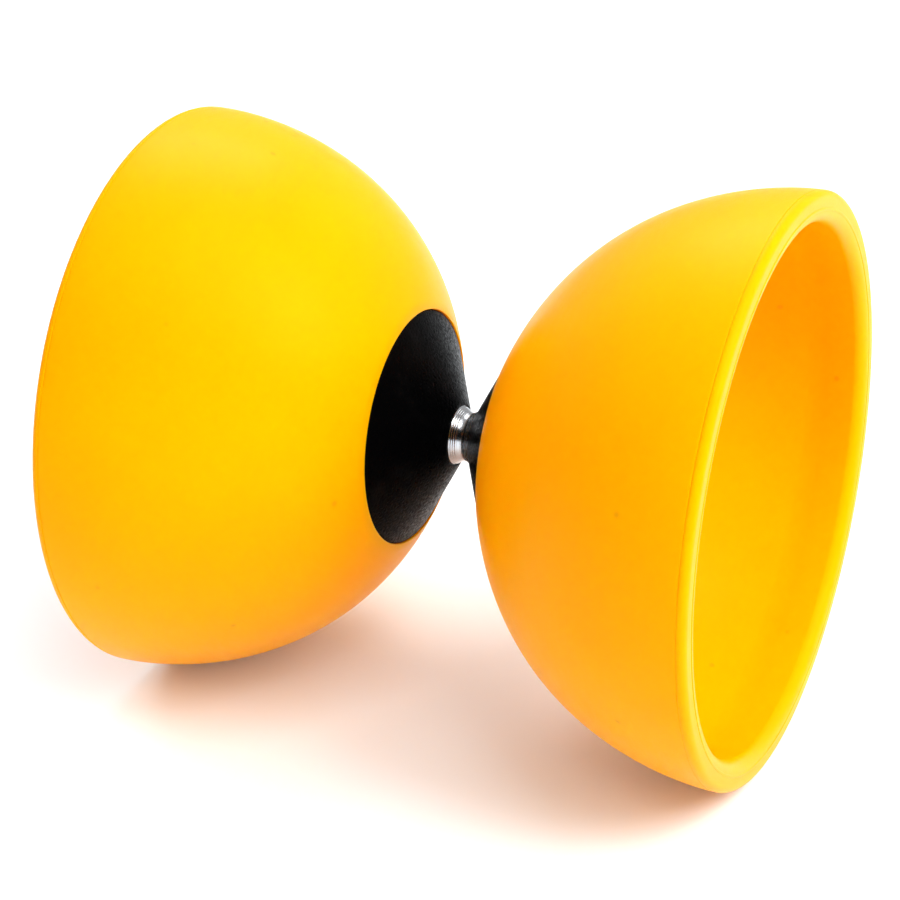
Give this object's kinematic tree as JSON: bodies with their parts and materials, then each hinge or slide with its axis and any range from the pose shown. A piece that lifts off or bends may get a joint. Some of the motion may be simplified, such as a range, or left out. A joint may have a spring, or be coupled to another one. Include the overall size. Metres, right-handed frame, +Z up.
{
  "type": "diabolo",
  "caption": "Diabolo: two open rubber bowls clamped back to back on conical plastic hubs, with a waisted metal string groove between them on a fixed axle.",
  "frame": {"origin": "centre of the axle, in the middle of the string groove", "axes": "X along the spin axis from the left cup to the right cup, Z up, Y away from a viewer in front"},
  "size_m": [0.142, 0.125, 0.125],
  "materials": {
    "cup_rubber": "satin moulded yellow rubber",
    "hub_plastic": "fine matte black moulded plastic",
    "sleeve_steel": "bright turned steel with fine turning rings",
    "fastener_steel": "bright zinc plated steel"
  },
  "bodies": {
    "root": {"axle_sleeve": "sleeve_steel", "axle_stud": "fastener_steel", "left_cup": "cup_rubber", "left_hub": "hub_plastic", "left_clamp_disc": "hub_plastic", "left_flat_washer": "fastener_steel", "left_spring_washer": "fastener_steel", "left_nut": "fastener_steel", "right_cup": "cup_rubber", "right_hub": "hub_plastic", "right_clamp_disc": "hub_plastic", "right_flat_washer": "fastener_steel", "right_spring_washer": "fastener_steel", "right_nut": "fastener_steel"}
  },
  "joints": []
}
